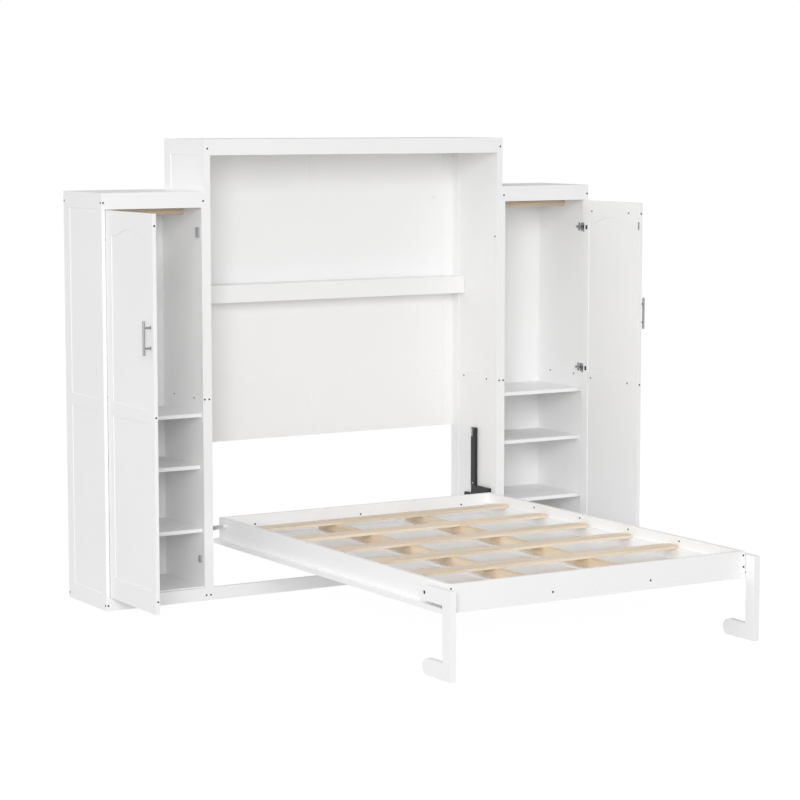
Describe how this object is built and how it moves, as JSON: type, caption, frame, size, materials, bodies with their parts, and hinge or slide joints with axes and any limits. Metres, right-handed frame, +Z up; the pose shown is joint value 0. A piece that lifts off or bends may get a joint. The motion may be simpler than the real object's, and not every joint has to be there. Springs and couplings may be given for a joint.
{
  "type": "murphy wall bed",
  "caption": "Queen-size fold-up wall bed in a tall white cabinet, with a wardrobe and open shelves on each side.",
  "frame": {"origin": "on the floor, midway between the left and right sides and midway between the feet of the open bed and the back of the cabinets", "axes": "+X to the right as seen from the open bed, +Y towards the wall behind the cabinets, +Z up"},
  "size_m": [2.816, 2.557, 2.22],
  "materials": {
    "white_board": "satin white paint on board",
    "slat_timber": "plain planed softwood",
    "rail_timber": "smooth turned wood",
    "lift_steel": "black powder coat",
    "arm_steel": "white powder coat",
    "handle_steel": "brushed",
    "bright_steel": "zinc plated",
    "catch_plastic": "moulded",
    "dark_cap": "moulded",
    "black_bolt": "black oxide"
  },
  "bodies": {
    "cabinet": {"base_rail": "white_board", "cabinet_caps": "dark_cap", "centre_back_frame": "white_board", "centre_back_panels": "white_board", "centre_left_side": "white_board", "centre_right_side": "white_board", "centre_top": "white_board", "centre_top_rail": "white_board", "left_clothes_rail": "rail_timber", "left_door_catches": "catch_plastic", "left_hinge_arms": "bright_steel", "left_lift_bracket": "lift_steel", "left_lift_housing": "lift_steel", "left_wardrobe_back": "white_board", "left_wardrobe_floor": "white_board", "left_wardrobe_inner_side": "white_board", "left_wardrobe_outer_side": "white_board", "left_wardrobe_shelves": "white_board", "left_wardrobe_top": "white_board", "left_wardrobe_top_rail": "white_board", "right_clothes_rail": "rail_timber", "right_door_catches": "catch_plastic", "right_hinge_arms": "bright_steel", "right_lift_bracket": "lift_steel", "right_lift_housing": "lift_steel", "right_wardrobe_back": "white_board", "right_wardrobe_floor": "white_board", "right_wardrobe_inner_side": "white_board", "right_wardrobe_outer_side": "white_board", "right_wardrobe_shelves": "white_board", "right_wardrobe_top": "white_board", "right_wardrobe_top_rail": "white_board", "shelf_box": "white_board"},
    "left_door": {"left_door_caps": "dark_cap", "left_door_fittings": "bright_steel", "left_door_frame": "white_board", "left_door_handle": "handle_steel", "left_door_panels": "white_board"},
    "right_door": {"right_door_caps": "dark_cap", "right_door_fittings": "bright_steel", "right_door_frame": "white_board", "right_door_handle": "handle_steel", "right_door_panels": "white_board"},
    "left_arm": {"left_swing_arm": "arm_steel"},
    "right_arm": {"right_swing_arm": "arm_steel"},
    "bed": {"bed_battens": "white_board", "bed_beams": "slat_timber", "bed_caps": "dark_cap", "bed_foot_board": "white_board", "bed_head_board": "white_board", "bed_ledgers": "white_board", "bed_left_rail": "white_board", "bed_panel": "white_board", "bed_right_rail": "white_board", "bed_slats": "slat_timber", "leg_bolts": "black_bolt", "swing_pins": "arm_steel"},
    "left_leg": {"left_leg": "white_board"},
    "right_leg": {"right_leg": "white_board"}
  },
  "joints": [
    {"name": "left_arm_swing", "type": "hinge", "parent": "cabinet", "child": "left_arm", "pos_m": [-0.794, 0.9765, 0.324], "axis": [1, 0, 0], "range_deg": [0, 90]},
    {"name": "right_arm_swing", "type": "hinge", "parent": "cabinet", "child": "right_arm", "pos_m": [0.794, 0.9765, 0.324], "axis": [1, 0, 0], "range_deg": [0, 90]},
    {"name": "bed_fold", "type": "hinge", "parent": "left_arm", "child": "bed", "pos_m": [-0.794, 0.7865, 0.366], "axis": [-1, 0, 0], "range_deg": [0, 180]},
    {"name": "left_leg_fold", "type": "hinge", "parent": "bed", "child": "left_leg", "pos_m": [-0.803, -1.0775, 0.35], "axis": [-1, 0, 0], "range_deg": [0, 184]},
    {"name": "right_leg_fold", "type": "hinge", "parent": "bed", "child": "right_leg", "pos_m": [0.803, -1.0775, 0.35], "axis": [-1, 0, 0], "range_deg": [0, 184]},
    {"name": "left_door_swing", "type": "hinge", "parent": "cabinet", "child": "left_door", "pos_m": [-1.368, 0.8465, 0.98], "axis": [0, 0, 1], "range_deg": [0, 90]},
    {"name": "right_door_swing", "type": "hinge", "parent": "cabinet", "child": "right_door", "pos_m": [1.368, 0.8465, 0.98], "axis": [0, 0, -1], "range_deg": [0, 90]}
  ],
  "couplings": [
    {"joint": "bed_fold", "follows": "left_arm_swing", "ratio": 2},
    {"joint": "right_arm_swing", "follows": "left_arm_swing", "ratio": 1},
    {"joint": "left_leg_fold", "follows": "left_arm_swing", "ratio": 2.04},
    {"joint": "right_leg_fold", "follows": "left_arm_swing", "ratio": 2.04}
  ]
}
